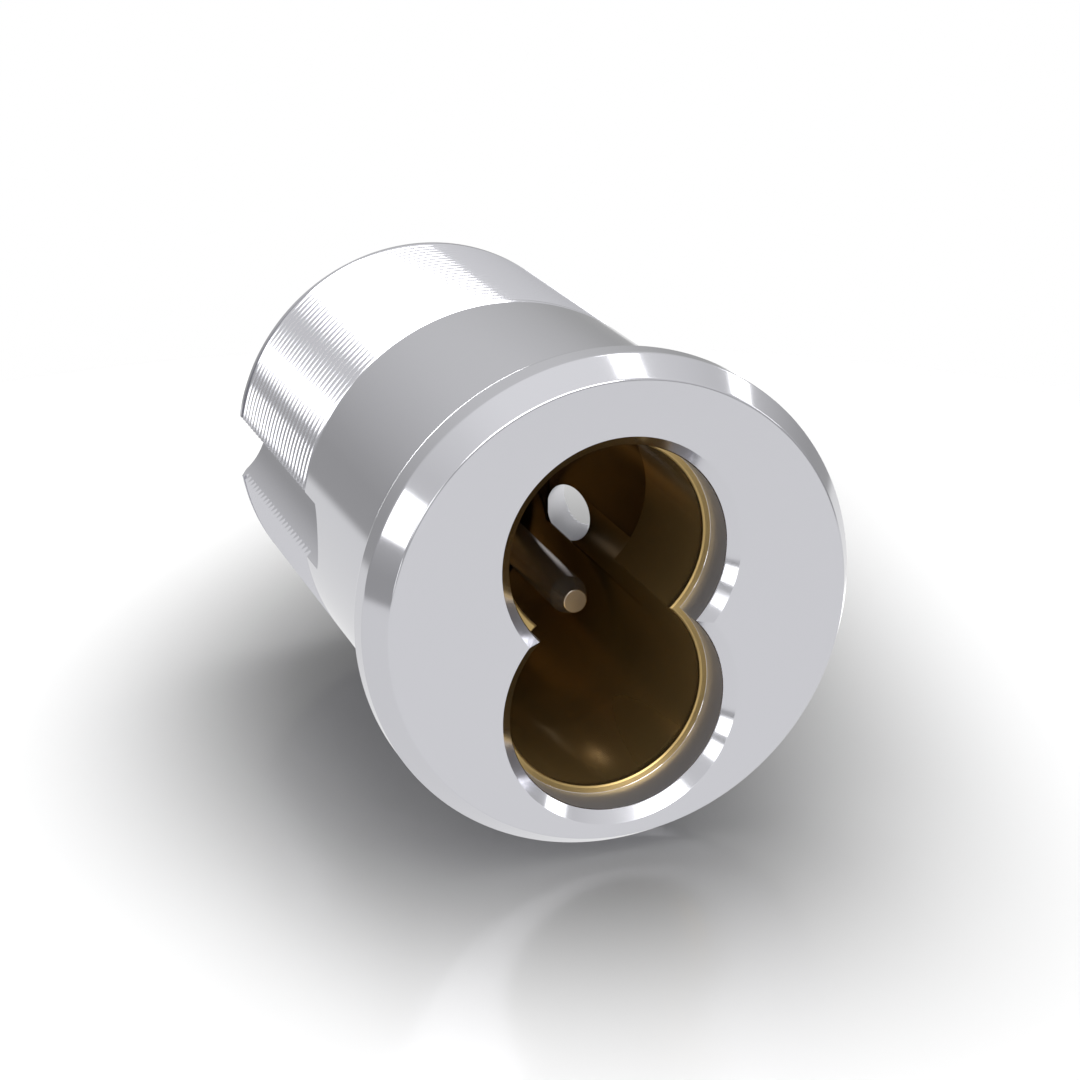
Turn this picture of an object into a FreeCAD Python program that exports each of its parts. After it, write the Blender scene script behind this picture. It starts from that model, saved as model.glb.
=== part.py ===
import FreeCAD, Part
import math
import os

# Mortise cylinder housing for an interchangeable core, with its driver and cam.
# Millimetres. X to the right, Z up, Y towards the back of the lock.
# The origin lies on the thread's axis, in the face of the head that seats on the lock.
# The figure-eight opening stands upright and the cam points up, as for screwing in.

V = FreeCAD.Vector
BACKWARDS = V(0, 1, 0)
ALONG_X = V(1, 0, 0)

# Head
head_diameter = 33.4
head_thickness = 3.83
face_diameter = 31.04
head_bevel_depth = 1.97
face_edge_break = 0.12
seat_edge_break = 0.15

# Body: a smooth neck, then a thread of 32 turns to the inch, shown plain at half its depth
thread_diameter = 29.37
thread_depth = 0.46
neck_length = 19.4
body_length = 39.6
rear_edge_chamfer = 0.5

# Figure-eight opening for the core
upper_lobe_height = 3.72
lobe_spacing = 10.2
core_radius = 6.87
mouth_radius = 7.36
mouth_depth = 3.31
mouth_chamfer = 0.75
seat_ring_chamfer = 0.12

# Room behind the shoulder: the driver's bore, and the recess for the core's locking lug
shoulder_end = 9.5
driver_bore_radius = 7.2
recess_half_width = 7.25
recess_end = 30.2
recess_ledge_height = -5.6
recess_rim_chamfer = 0.15

# Slanting hole from the recess out through the thread
slant_hole_diameter = 4.2
slant_hole_bearing = -26.3
slant_hole_tilt = 30.0
slant_hole_exit = 37.1

# Grooves for the lock's set screw, at both sides
groove_depth = 2.1
groove_half_width = 2.4
groove_flank_radius = 4.6
groove_start = 15.9
groove_end_radius = 2.96

# Web at the back that carries the driver, and the hollow behind it for the ring
ring_hollow_depth = 1.5
web_thickness = 1.5
hub_radius = 5.6

# Driver: a disc in front of the web, on a hub that runs through it
disc_thickness = 1.3
disc_clearance = 0.25
hub_clearance = 0.06
end_play = 0.1
hub_stand_out = 0.3
tenon_height = 1.2
tenon_end_land = 1.1
tenon_screw_land = 0.65

# Drive pins
pin_radius = 1.4
pin_wall = 0.3
pin_tip_radius = 0.87
pin_tip_length = 1.4
pin_tip_depth = 15.17
pin_seat_depth = 2.6
pin_fit = 0.01

# Retaining ring on the hub
ring_thickness = 0.8
ring_stand_out = 0.65
ring_hollow_clearance = 0.35
ring_groove_depth = 0.5
ring_side_play = 0.05
ring_gap = 4.4

# Cam
cam_thickness = 1.6
cam_hub_radius = 7.0
cam_reach = 16.4
cam_tip_radius = 3.4
cam_edge_chamfer = 0.2
tenon_fit = 0.05

# Cam screws
screw_wall = 1.05
screw_radius = 1.25
screw_depth = 3.6
screw_fit = 0.02
screw_head_radius = 2.15
screw_head_height = 1.3
screw_head_rounding = 0.5
screw_slot_width = 0.6
screw_slot_depth = 0.6

# Places that follow from the sizes above
lower_lobe_height = upper_lobe_height - lobe_spacing
face_y = -head_thickness
thread_radius = thread_diameter / 2
plain_thread_radius = thread_radius - thread_depth / 2
rear_face_radius = thread_radius - rear_edge_chamfer
ring_hollow_front = body_length - ring_hollow_depth
web_front = ring_hollow_front - web_thickness
disc_back = web_front - end_play
disc_front = disc_back - disc_thickness
hub_end = body_length + hub_stand_out
cam_back = hub_end + cam_thickness
ring_outer_radius = hub_radius + ring_stand_out
ring_hollow_radius = ring_outer_radius + ring_hollow_clearance
pin_offset = hub_radius - pin_wall - pin_radius
screw_offset = hub_radius - screw_wall - screw_radius
tenon_half_width = screw_offset - screw_radius - tenon_screw_land
tenon_half_length = hub_radius - tenon_end_land
past_end = 1.0


def ring_solid(outline, height):
    """Solid turned about the Y axis line at the given height, from (radius, y) points."""
    corners = [V(radius, y, height) for radius, y in outline]
    wire = Part.makePolygon(corners + corners[:1])
    return Part.Face(wire).revolve(V(0, 0, height), BACKWARDS, 360)


def rod(radius, start, end, height, across=0.0):
    """Round bar along Y between two places."""
    return Part.makeCylinder(radius, end - start, V(across, start, height), BACKWARDS)


def box_between(low, high):
    """Box between its lowest and highest corners."""
    size = high.sub(low)
    return Part.makeBox(size.x, size.y, size.z, low)


def shell_blank():
    """Head, neck and threaded body as one turned solid."""
    head_radius = head_diameter / 2
    face_radius = face_diameter / 2
    outline = [
        (0, face_y),
        (face_radius - face_edge_break, face_y),
        (face_radius, face_y + face_edge_break),
        (head_radius, face_y + head_bevel_depth),
        (head_radius, -seat_edge_break),
        (head_radius - seat_edge_break, 0),
        (thread_radius, 0),
        (thread_radius, neck_length),
        (plain_thread_radius, neck_length + thread_depth / 2),
        (plain_thread_radius, body_length - (plain_thread_radius - rear_face_radius)),
        (rear_face_radius, body_length),
        (0, body_length),
    ]
    return ring_solid(outline, 0)


def lobe_cutter(height, depth):
    """One lobe of the opening: chamfered mouth, straight mouth, seat ring and core bore."""
    seat_y = face_y + mouth_depth
    over = mouth_chamfer + past_end
    outline = [
        (0, face_y - past_end),
        (mouth_radius + over, face_y - past_end),
        (mouth_radius, face_y + mouth_chamfer),
        (mouth_radius, seat_y),
        (core_radius + seat_ring_chamfer, seat_y),
        (core_radius, seat_y + seat_ring_chamfer),
        (core_radius, depth),
        (0, depth),
    ]
    return ring_solid(outline, height)


def lug_recess_cutter():
    """Recess behind the shoulder: round over the upper lobe, upright sides, flat ledges."""
    top = rod(recess_half_width, shoulder_end, recess_end, upper_lobe_height)
    low = V(-recess_half_width, shoulder_end, recess_ledge_height)
    high = V(recess_half_width, recess_end, upper_lobe_height)
    return top.fuse(box_between(low, high))


def recess_rim_cutter():
    """Small chamfer where the floor of the recess meets the driver's bore."""
    rim_end = recess_end + recess_rim_chamfer
    outline = [
        (0, recess_end),
        (driver_bore_radius + recess_rim_chamfer, recess_end),
        (driver_bore_radius, rim_end),
        (0, rim_end),
    ]
    low = V(-recess_half_width, recess_end, recess_ledge_height)
    high = V(recess_half_width, rim_end, upper_lobe_height)
    return ring_solid(outline, lower_lobe_height).common(box_between(low, high))


def slant_hole_cutter():
    """Round hole in a plane through the thread's axis, tilted from that axis."""
    bearing = math.radians(slant_hole_bearing)
    tilt = math.radians(slant_hole_tilt)
    outward = V(math.cos(bearing), 0, math.sin(bearing))
    direction = outward * math.sin(tilt) + BACKWARDS * math.cos(tilt)
    exit_point = outward * thread_radius + V(0, slant_hole_exit, 0)
    inward_run = (thread_radius - upper_lobe_height) / math.sin(tilt)
    outward_run = 2 * slant_hole_diameter / math.sin(tilt)
    start = exit_point - direction * inward_run
    return Part.makeCylinder(slant_hole_diameter / 2, inward_run + outward_run, start, direction)


def groove_flank_centre():
    """Centre (x, z) of the arc that is the lower flank of the groove at the +X side."""
    deep = (thread_radius - groove_depth, 0.0)
    edge = (math.sqrt(thread_radius**2 - groove_half_width**2), -groove_half_width)
    chord = math.hypot(edge[0] - deep[0], edge[1] - deep[1])
    middle = ((deep[0] + edge[0]) / 2, (deep[1] + edge[1]) / 2)
    rise = math.sqrt(groove_flank_radius**2 - (chord / 2) ** 2)
    along = ((edge[0] - deep[0]) / chord, (edge[1] - deep[1]) / chord)
    return (middle[0] - along[1] * rise, middle[1] + along[0] * rise)


def groove_cutter(side):
    """Set-screw groove at one side: two hollow flanks that meet, round at the front end."""
    centre_x, centre_z = groove_flank_centre()
    end = body_length + past_end
    flanks = [rod(groove_flank_radius, 0, end, z, centre_x) for z in (centre_z, -centre_z)]
    section = flanks[0].common(flanks[1])
    reach = thread_radius + groove_depth
    round_y = groove_start + groove_end_radius
    nose = Part.makeCylinder(groove_end_radius, reach, V(0, round_y, 0), ALONG_X)
    low = V(0, round_y, -groove_end_radius)
    run = nose.fuse(box_between(low, V(reach, end, groove_end_radius)))
    groove = section.common(run)
    if side < 0:
        groove = groove.mirror(V(0, 0, 0), ALONG_X)
    return groove


def housing():
    """The turned shell with its opening, recess, slanting hole, grooves and web."""
    body = shell_blank()
    for height in (upper_lobe_height, lower_lobe_height):
        body = body.cut(lobe_cutter(height, shoulder_end + past_end))
    body = body.cut(rod(driver_bore_radius, shoulder_end, web_front, lower_lobe_height))
    body = body.cut(lug_recess_cutter())
    body = body.cut(recess_rim_cutter())
    body = body.cut(slant_hole_cutter())
    hub_bore = rod(hub_radius + hub_clearance, web_front - past_end, body_length + past_end,
                   lower_lobe_height)
    body = body.cut(hub_bore)
    ring_hollow = rod(ring_hollow_radius, ring_hollow_front, body_length + past_end,
                      lower_lobe_height)
    body = body.cut(ring_hollow)
    for side in (1, -1):
        body = body.cut(groove_cutter(side))
    return body.removeSplitter()


def driver():
    """Disc, hub and tenon in one piece, drilled for the pins and tapped for the screws."""
    groove_front = ring_hollow_front
    groove_back = groove_front + ring_thickness + 2 * ring_side_play
    outline = [
        (0, disc_front),
        (core_radius - disc_clearance, disc_front),
        (core_radius - disc_clearance, disc_back),
        (hub_radius, disc_back),
        (hub_radius, groove_front),
        (hub_radius - ring_groove_depth, groove_front),
        (hub_radius - ring_groove_depth, groove_back),
        (hub_radius, groove_back),
        (hub_radius, hub_end),
        (0, hub_end),
    ]
    piece = ring_solid(outline, lower_lobe_height)
    piece = piece.fuse(tenon(0.0, tenon_height))
    for side in (1, -1):
        hole = rod(pin_radius + pin_fit, disc_front - past_end, disc_front + pin_seat_depth,
                   lower_lobe_height, side * pin_offset)
        piece = piece.cut(hole)
        screw_z = lower_lobe_height + side * screw_offset
        tapping = rod(screw_radius + screw_fit, hub_end - screw_depth, hub_end + past_end, screw_z)
        piece = piece.cut(tapping)
    return piece.removeSplitter()


def tenon(growth, height):
    """Key bar across the end of the hub, which the cam's slot fits over."""
    half_length = tenon_half_length + growth
    half_width = tenon_half_width + growth
    low = V(-half_length, hub_end, lower_lobe_height - half_width)
    high = V(half_length, hub_end + height, lower_lobe_height + half_width)
    return box_between(low, high)


def drive_pin(side):
    """Steel pin with a tapered tip, pressed into the driver's disc."""
    outline = [
        (0, pin_tip_depth),
        (pin_tip_radius, pin_tip_depth),
        (pin_radius, pin_tip_depth + pin_tip_length),
        (pin_radius, disc_front + pin_seat_depth),
        (0, disc_front + pin_seat_depth),
    ]
    piece = ring_solid(outline, lower_lobe_height)
    piece.translate(V(side * pin_offset, 0, 0))
    return piece


def retaining_ring():
    """Open spring ring that snaps into the hub's groove behind the web."""
    start = ring_hollow_front + ring_side_play
    inner = hub_radius - ring_groove_depth + pin_fit
    piece = rod(ring_outer_radius, start, start + ring_thickness, lower_lobe_height)
    piece = piece.cut(rod(inner, start - past_end, start + ring_thickness + past_end, lower_lobe_height))
    low = V(-ring_gap / 2, start - past_end, lower_lobe_height - ring_outer_radius - past_end)
    high = V(ring_gap / 2, start + ring_thickness + past_end, lower_lobe_height)
    return piece.cut(box_between(low, high))


def cam_outline():
    """Wire round the cam: hub arc, tip arc and the two straight flanks tangent to both."""
    tip_z = lower_lobe_height + cam_reach - cam_tip_radius
    lean = math.asin((cam_hub_radius - cam_tip_radius) / (tip_z - lower_lobe_height))

    def on_arc(radius, height, side):
        return V(side * radius * math.cos(lean), hub_end, height + radius * math.sin(lean))

    hub_right = on_arc(cam_hub_radius, lower_lobe_height, 1)
    hub_left = on_arc(cam_hub_radius, lower_lobe_height, -1)
    tip_right = on_arc(cam_tip_radius, tip_z, 1)
    tip_left = on_arc(cam_tip_radius, tip_z, -1)
    top = V(0, hub_end, tip_z + cam_tip_radius)
    bottom = V(0, hub_end, lower_lobe_height - cam_hub_radius)
    edges = [
        Part.LineSegment(hub_right, tip_right).toShape(),
        Part.Arc(tip_right, top, tip_left).toShape(),
        Part.LineSegment(tip_left, hub_left).toShape(),
        Part.Arc(hub_left, bottom, hub_right).toShape(),
    ]
    return Part.Wire(edges)


def cam():
    """Flat cam with a slot for the tenon and holes for its two screws."""
    piece = Part.Face(cam_outline()).extrude(V(0, cam_thickness, 0))
    rear_edges = [edge for edge in piece.Edges if edge.BoundBox.YMin > cam_back - tenon_fit]
    piece = piece.makeChamfer(cam_edge_chamfer, rear_edges)
    piece = piece.cut(tenon(tenon_fit, cam_thickness + past_end))
    for side in (1, -1):
        screw_z = lower_lobe_height + side * screw_offset
        hole = rod(screw_radius + tenon_fit, hub_end - past_end, cam_back + past_end, screw_z)
        piece = piece.cut(hole)
    return piece


def cam_screw(side):
    """Slotted pan-head screw, its thread shown plain."""
    height = lower_lobe_height + side * screw_offset
    head_end = cam_back + screw_head_height
    outline = [
        (0, hub_end - screw_depth),
        (screw_radius, hub_end - screw_depth),
        (screw_radius, cam_back),
        (screw_head_radius, cam_back),
        (screw_head_radius, head_end - screw_head_rounding),
        (screw_head_radius - screw_head_rounding, head_end),
        (0, head_end),
    ]
    piece = ring_solid(outline, height)
    reach = screw_head_radius + past_end
    low = V(-reach, head_end - screw_slot_depth, height - screw_slot_width / 2)
    high = V(reach, head_end + past_end, height + screw_slot_width / 2)
    return piece.cut(box_between(low, high))


def write(name, shape):
    """Write one piece and print its volume."""
    solids = shape.Solids
    if not shape.isValid() or len(solids) != 1:
        raise ValueError(name + " is not one valid solid")
    solids[0].exportStep("parts/" + name + ".step")
    print(name, round(solids[0].Volume, 2), "mm3")


def main():
    os.makedirs("parts", exist_ok=True)
    write("housing", housing())
    write("driver", driver())
    write("drive_pin_right", drive_pin(1))
    write("drive_pin_left", drive_pin(-1))
    write("retaining_ring", retaining_ring())
    write("cam", cam())
    write("cam_screw_upper", cam_screw(1))
    write("cam_screw_lower", cam_screw(-1))


main()
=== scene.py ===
"""Mortise cylinder housing: a threaded, plated brass shell with a figure-eight opening,
its driver with two pins, and the cam on the back, on a pale studio floor.

Lengths in this file are metres, in the frame of the packed model: +Y runs back along the
thread's axis, +Z is up, and the origin lies in the plane where the head seats.
"""

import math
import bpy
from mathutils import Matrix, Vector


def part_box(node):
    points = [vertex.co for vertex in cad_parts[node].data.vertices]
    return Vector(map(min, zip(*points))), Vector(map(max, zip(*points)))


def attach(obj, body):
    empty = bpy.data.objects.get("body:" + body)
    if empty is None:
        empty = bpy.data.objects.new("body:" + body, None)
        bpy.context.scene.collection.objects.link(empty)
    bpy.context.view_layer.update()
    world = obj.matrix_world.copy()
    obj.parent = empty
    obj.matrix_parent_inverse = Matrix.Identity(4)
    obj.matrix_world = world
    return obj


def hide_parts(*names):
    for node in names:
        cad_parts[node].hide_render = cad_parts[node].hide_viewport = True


bl_info = {
    "name": "Mortise Cylinder Housing",
    "version": (1, 0, 0),
    "blender": (4, 5, 0),
    "location": "View3D > Sidebar > Cylinder",
    "description": "Builds a threaded lock cylinder housing with its driver and cam on a studio stage",
    "category": "Object",
}

import bpy
import numpy as np
from bpy.props import FloatProperty, FloatVectorProperty, IntProperty, PointerProperty
from bpy.types import Operator, Panel, PropertyGroup
from mathutils import Matrix, Vector

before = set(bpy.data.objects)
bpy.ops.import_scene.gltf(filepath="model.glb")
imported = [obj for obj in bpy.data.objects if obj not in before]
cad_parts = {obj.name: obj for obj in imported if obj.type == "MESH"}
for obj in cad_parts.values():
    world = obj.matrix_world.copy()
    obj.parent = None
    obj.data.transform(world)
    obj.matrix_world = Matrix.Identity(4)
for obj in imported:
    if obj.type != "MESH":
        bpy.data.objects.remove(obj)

MM = 0.001
HEAD_LOW, SHELL_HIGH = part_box("housing")
DISC_LOW, TENON_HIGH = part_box("driver")
RING_LOW, RING_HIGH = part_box("retaining_ring")
CAM_LOW, CAM_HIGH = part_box("cam")

# How far a cutter runs past the end of what it cuts, and the least gap or overlap
PAST = 1 * MM
HAIR = 0.01 * MM
FLOOR_CENTRE_Y = 18 * MM
LAMP_DISTANCE = 0.6
LAMPS = (
    ("front_lamp", -5.5, 44.0, 46.0, 30.0, 2.0),
    ("left_lamp", -94.5, 20.0, 16.0, 16.0, 1.0),
    ("low_left_lamp", -59.5, 0.0, 8.0, 11.0, 1.0),
    ("right_lamp", 114.5, 27.0, 14.0, 7.0, 1.0),
    ("high_right_lamp", 117.0, 65.0, 20.0, 9.0, 1.0),
    ("near_right_lamp", 79.0, 24.0, 10.0, 14.0, 1.0),
    ("near_left_lamp", -44.0, 16.3, 26.0, 10.5, 1.0),
    ("rear_lamp", 178.0, 0.0, 18.0, 18.0, 3.0),
    ("low_back_lamp", 150.0, -17.0, 10.0, 12.0, 0.55),
    ("floor_lamp", 150.0, 65.0, 40.0, 40.0, 1.2),
)
ROOM_LEVELS = ((-90, 0.93), (-10.5, 0.93), (-8.5, 0.45), (0, 0.45), (5, 0.50), (9, 0.56),
               (15, 0.65), (20, 0.73), (24, 0.81), (36, 0.80), (52, 0.93), (60, 1.02), (70, 1.08),
               (90, 1.09))


def length(name, description, millimetres):
    """A size that a user would change."""
    return FloatProperty(name=name, description=description, default=millimetres * MM,
                         unit="LENGTH", precision=5)


def bend(name, description, degrees):
    """An angle that a user would change."""
    return FloatProperty(name=name, description=description, default=math.radians(degrees),
                         subtype="ANGLE")


def brightness(name, description, default):
    """A brightness that a user would change."""
    return FloatProperty(name=name, description=description, default=default, min=0.0, max=10.0)


def colour(name, description, default):
    """A colour that a user would change."""
    return FloatVectorProperty(name=name, description=description, default=default,
                               subtype="COLOR", size=3, min=0.0, max=1.0)


def share(name, description, default):
    """A number between 0 and 1 that a user would change."""
    return FloatProperty(name=name, description=description, default=default,
                         subtype="FACTOR", min=0.0, max=1.0)


class ShellSizes(PropertyGroup):
    """Sizes of the turned shell, outside."""

    head_radius: length("Head radius", "Outer radius of the head", SHELL_HIGH.x / MM)
    face_radius: length("Face radius", "Radius of the flat front face", 15.52)
    head_thickness: length("Head thickness", "From the face to the seat", -HEAD_LOW.y / MM)
    bevel_depth: length("Bevel depth", "How far the polished bevel runs back", 1.97)
    thread_radius: length("Thread radius", "Radius of the neck and of the thread's crests", 14.685)
    thread_pitch: length("Thread pitch", "One turn of the thread", 25.4 / 32)
    thread_depth: length("Thread depth", "From crest to root", 0.46)
    neck_length: length("Neck length", "Smooth stretch between the head and the thread", 19.4)
    body_length: length("Body length", "From the seat to the back end", SHELL_HIGH.y / MM)
    rear_chamfer: length("Rear chamfer", "Chamfer round the back end", 0.5)
    rear_land: length("Rear land", "Plain ring left between the thread and that chamfer", 0.42)
    edge_break: length("Edge break", "Rounding left on the turned edges", 0.06)


class OpeningSizes(PropertyGroup):
    """Sizes of the figure-eight opening and of what is cut behind it."""

    upper_lobe_height: length("Upper lobe height", "Centre of the upper lobe", 3.72)
    lower_lobe_height: length("Lower lobe height", "Centre of the lower lobe", -6.48)
    mouth_radius: length("Mouth radius", "Radius of each lobe in front of the seat ring", 7.36)
    mouth_depth: length("Mouth depth", "From the face to the seat ring", 3.31)
    mouth_chamfer: length("Mouth chamfer", "Polished chamfer round the opening", 0.75)
    core_radius: length("Core radius", "Radius of each lobe through the shoulder", 6.87)
    shoulder_end: length("Shoulder end", "Back end of the shoulder", 9.5)
    driver_bore_radius: length("Driver bore radius", "Bore behind the lower lobe", 7.2)
    recess_half_width: length("Recess half width", "Half the width of the lug's recess", 7.25)
    recess_end: length("Recess end", "Floor of the lug's recess", 30.2)
    recess_ledge_height: length("Recess ledge", "Flat bottom of the lug's recess", -5.6)
    recess_rim_chamfer: length("Recess rim chamfer", "Chamfer at the recess's far end", 0.15)
    web_front: length("Web front", "Front of the web that carries the driver", 36.6)
    hub_bore_radius: length("Hub bore radius", "Bore of the web", 5.66)
    ring_hollow_radius: length("Ring hollow radius", "Hollow behind the web", 6.6)
    ring_hollow_front: length("Ring hollow front", "Floor of the hollow behind the web", 38.1)
    slant_hole_radius: length("Slanting hole radius", "Hole from the recess out through the thread", 2.1)
    slant_hole_exit: length("Slanting hole exit", "Where its axis leaves the thread", 37.1)
    slant_hole_bearing: bend("Slanting hole bearing", "From +X towards +Z round the axis", -26.3)
    slant_hole_tilt: bend("Slanting hole tilt", "Angle to the thread's axis", 30.0)


class GrooveSizes(PropertyGroup):
    """Sizes of the set-screw grooves at both sides."""

    depth: length("Groove depth", "Below the thread's crests", 2.1)
    half_width: length("Groove half width", "At the thread's crests", 2.4)
    flank_radius: length("Flank radius", "Hollow radius of each flank", 4.6)
    start: length("Groove start", "Front end of the groove", 15.9)
    end_radius: length("End radius", "Rounding of its front end", 2.96)


class DriverSizes(PropertyGroup):
    """Sizes of the driver and of what is fastened to it."""

    disc_radius: length("Disc radius", "Disc in front of the web", 6.62)
    disc_thickness: length("Disc thickness", "Front to back", 1.3)
    hub_radius: length("Hub radius", "Hub that turns in the web", 5.6)
    hub_end: length("Hub end", "Back face of the hub", CAM_LOW.y / MM)
    ring_groove_radius: length("Ring groove radius", "Floor of the ring's groove", 5.1)
    ring_groove_front: length("Ring groove front", "Front side of the ring's groove", 38.1)
    ring_groove_width: length("Ring groove width", "Front to back", 0.9)
    ring_gap: length("Ring gap", "Open end of the ring", 4.4)
    tenon_half_width: length("Tenon half width", "Half the key bar's height", 1.4)
    tenon_half_length: length("Tenon half length", "Half the key bar's length", 4.5)
    pin_offset: length("Pin offset", "From the hub's axis to each pin's", 3.9)
    pin_tip_radius: length("Pin tip radius", "Flat end of the taper", 0.87)
    pin_tip_length: length("Pin tip length", "Length of the taper", 1.4)
    pin_seat_depth: length("Pin seat depth", "How far a pin stands in the disc", 2.6)
    screw_offset: length("Screw offset", "From the hub's axis to each screw's", 3.3)
    screw_radius: length("Screw radius", "Outside of the screw's thread", 1.25)
    screw_pitch: length("Screw pitch", "One turn of the screw's thread", 0.45)
    screw_thread_depth: length("Screw thread depth", "From crest to root", 0.24)
    screw_depth: length("Screw depth", "Below the hub's end", 3.6)
    screw_slot: length("Screw slot", "Width and depth of the slot", 0.6)
    cam_hub_radius: length("Cam hub radius", "Round end of the cam", 7.0)
    cam_tip_radius: length("Cam tip radius", "Tip of the cam", 3.4)
    cam_chamfer: length("Cam chamfer", "Chamfer round the back of the cam", 0.2)


class Finishes(PropertyGroup):
    """Colours and polish of the metals."""

    plate_colour: colour("Plate", "Satin chrome plate", (0.62, 0.62, 0.655))
    plate_roughness: share("Plate roughness", "Satin of the face", 0.2)
    bevel_roughness: share("Bevel roughness", "Polish of the bevels", 0.1)
    bore_roughness: share("Bore roughness", "Satin of the plated wall in the mouth", 0.4)
    brass_colour: colour("Brass", "Bare brass of the seat ring", (0.47, 0.335, 0.14))
    shoulder_colour: colour("Shoulder", "Brass of the bore behind the seat ring", (0.49, 0.33, 0.125))
    # Painted shade: the colour that the brass darkens to in the depth of the cavity
    depth_shade_colour: colour("Deep brass", "Dull brass in the depth", (0.1, 0.055, 0.022))
    brass_roughness: share("Brass roughness", "Bored brass", 0.30)
    brass_tarnish: share("Brass tarnish", "Matt share of the brass behind the seat ring", 0.3)
    pin_colour: colour("Pins", "Steel of the drive pins", (0.74, 0.67, 0.59))
    cam_colour: colour("Cam", "Zinc plate on the cam", (0.55, 0.55, 0.57))
    ring_colour: colour("Ring", "Blackened spring steel", (0.08, 0.08, 0.085))


class StageSettings(PropertyGroup):
    """Light, floor and camera."""

    floor_colour: colour("Floor", "Pale floor", (0.92, 0.92, 0.92))
    floor_radius: length("Floor radius", "Where the floor fades into the background", 105)
    lamp_level: brightness("Lamp level", "Brightness of the soft lamps' faces", 2.4)
    room_level: brightness("Room level", "Brightness of the room's walls", 1.0)
    segments: IntProperty(name="Segments", description="Facets round each turned surface",
                          default=256, min=48, max=512)


# Surfaces


def softened(profile, radius, steps=4):
    """Profile with each inner corner P replaced by the parabola (1-t)^2 A + 2t(1-t) P + t^2 B.

    A and B lie at the given distance from P along its two sides, or at 0.45 of a short side. One
    more point just past each of them keeps the shading of the long sides straight.
    """
    points = np.asarray(profile, float)
    radius = np.broadcast_to(radius, (len(points) - 2,))
    before = points[:-2] - points[1:-1]
    after = points[2:] - points[1:-1]
    long_before = np.linalg.norm(before, axis=1)
    long_after = np.linalg.norm(after, axis=1)
    reach = np.minimum(radius, 0.45 * np.minimum(long_before, long_after))
    extra = np.where(reach > 0, np.minimum(0.04 * np.minimum(long_before, long_after), 0.02 * MM), 0.0)
    before, after = before / long_before[:, None], after / long_after[:, None]
    start = points[1:-1] + before * reach[:, None]
    end = points[1:-1] + after * reach[:, None]
    t = np.linspace(0.0, 1.0, steps)[None, :, None]
    curve = (1 - t) ** 2 * start[:, None] + 2 * t * (1 - t) * points[1:-1, None] + t**2 * end[:, None]
    first = start + before * extra[:, None]
    last = end + after * extra[:, None]
    rows = np.concatenate([first[:, None], curve, last[:, None]], axis=1)
    full = np.vstack([points[:1], rows.reshape(-1, 2), points[-1:]])
    step = np.linalg.norm(np.diff(full, axis=0), axis=1)
    return full[np.concatenate([[True], step > 1e-8])]


def ring_quads(rows, columns):
    """Quads between each row of a grid and the next, closed round the columns."""
    row = np.arange(rows - 1)[:, None] * columns
    here = np.arange(columns)[None, :]
    there = (here + 1) % columns
    return np.stack([row + here, row + there, row + columns + there, row + columns + here],
                    axis=-1).reshape(-1, 4)


def capped(sections):
    """Closed solid through a stack of closed sections, shape (rows, columns, 3).

    Both ends are closed by a fan round the mean point of the end section.
    """
    rows, columns, _ = sections.shape
    points = np.vstack([sections.reshape(-1, 3), sections[0].mean(0), sections[-1].mean(0)])
    here = np.arange(columns)
    there = (here + 1) % columns
    last = (rows - 1) * columns
    first_cap = np.stack([there, here, np.full(columns, rows * columns)], axis=1)
    last_cap = np.stack([last + here, last + there, np.full(columns, rows * columns + 1)], axis=1)
    return points, ring_quads(rows, columns), np.vstack([first_cap, last_cap])


def turned(profile, height=0.0, segments=256):
    """Solid of revolution about the line X = 0, Z = height.

    A profile point (r, y) at the angle a becomes (r cos a, y, height + r sin a). The profile
    starts and ends on the axis, where one point closes the surface.
    """
    profile = np.asarray(profile, float)
    angle = np.linspace(0.0, 2 * math.pi, segments, endpoint=False)
    radius = profile[1:-1, 0][:, None]
    along = np.broadcast_to(profile[1:-1, 1][:, None], (len(profile) - 2, segments))
    sections = np.stack([radius * np.cos(angle), along, height + radius * np.sin(angle)], axis=-1)
    points, quads, caps = capped(sections)
    points[-2] = (0.0, profile[0, 1], height)
    points[-1] = (0.0, profile[-1, 1], height)
    return points, quads, caps


def rod(radius, start, end, height, segments=256):
    """Plain round bar along Y."""
    return turned([(0, start), (radius, start), (radius, end), (0, end)], height, segments)


def prism(*sections):
    """Closed solid through (x, z) outlines, each given with its place along Y."""
    rows = []
    for outline, y in sections:
        outline = np.asarray(outline, float)
        rows.append(np.column_stack([outline[:, 0], np.full(len(outline), y), outline[:, 1]]))
    return capped(np.stack(rows))


def block(low, high, edge):
    """Bar along Y with its four long edges cut off at 45 degrees."""
    (x0, y0, z0), (x1, y1, z1) = low, high
    outline = [(x0 + edge, z0), (x1 - edge, z0), (x1, z0 + edge), (x1, z1 - edge),
               (x1 - edge, z1), (x0 + edge, z1), (x0, z1 - edge), (x0, z0 + edge)]
    return prism((outline, y0), (outline, y1))


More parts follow.
